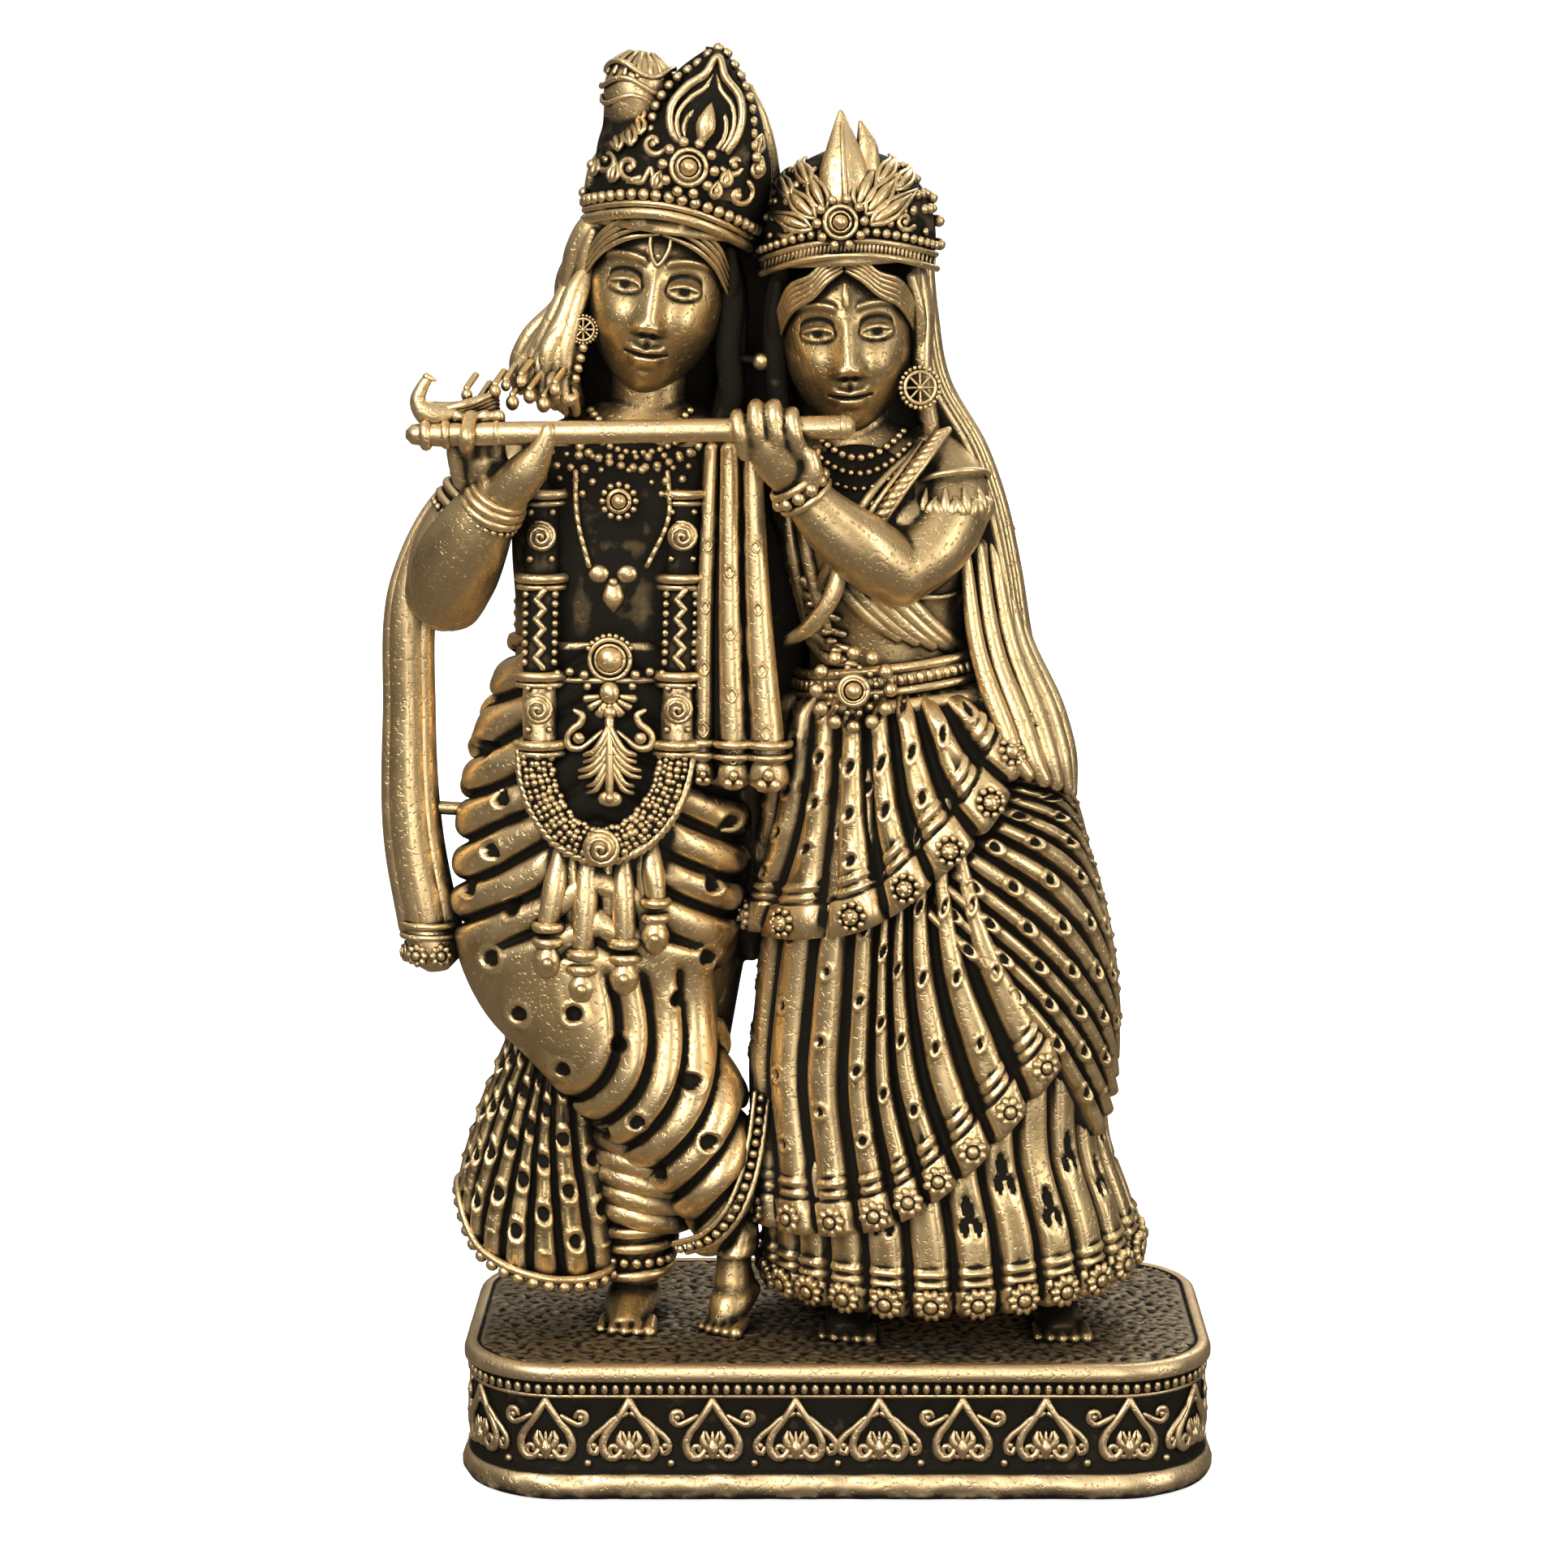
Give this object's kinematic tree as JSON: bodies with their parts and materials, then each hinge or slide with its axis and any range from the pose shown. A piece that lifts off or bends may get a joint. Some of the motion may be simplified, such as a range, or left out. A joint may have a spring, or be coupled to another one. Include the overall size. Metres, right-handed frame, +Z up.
{
  "type": "brass deity pair statue",
  "caption": "Cast brass statue of Krishna playing the flute beside Radha, standing on an oblong plinth with a band of scrollwork.",
  "frame": {"origin": "centre of the plinth's underside", "axes": "+Z up, -Y towards the viewer the figures face, +X to the viewer's right, where Radha stands"},
  "size_m": [0.1018, 0.048, 0.174],
  "materials": {
    "antique_brass": "polished highs with dark patina in the carving",
    "plinth_brass": "polished rim, dark patina in the band and on the hammered top"
  },
  "bodies": {
    "root": {"figure_pair": "antique_brass", "plinth": "plinth_brass"}
  },
  "joints": []
}
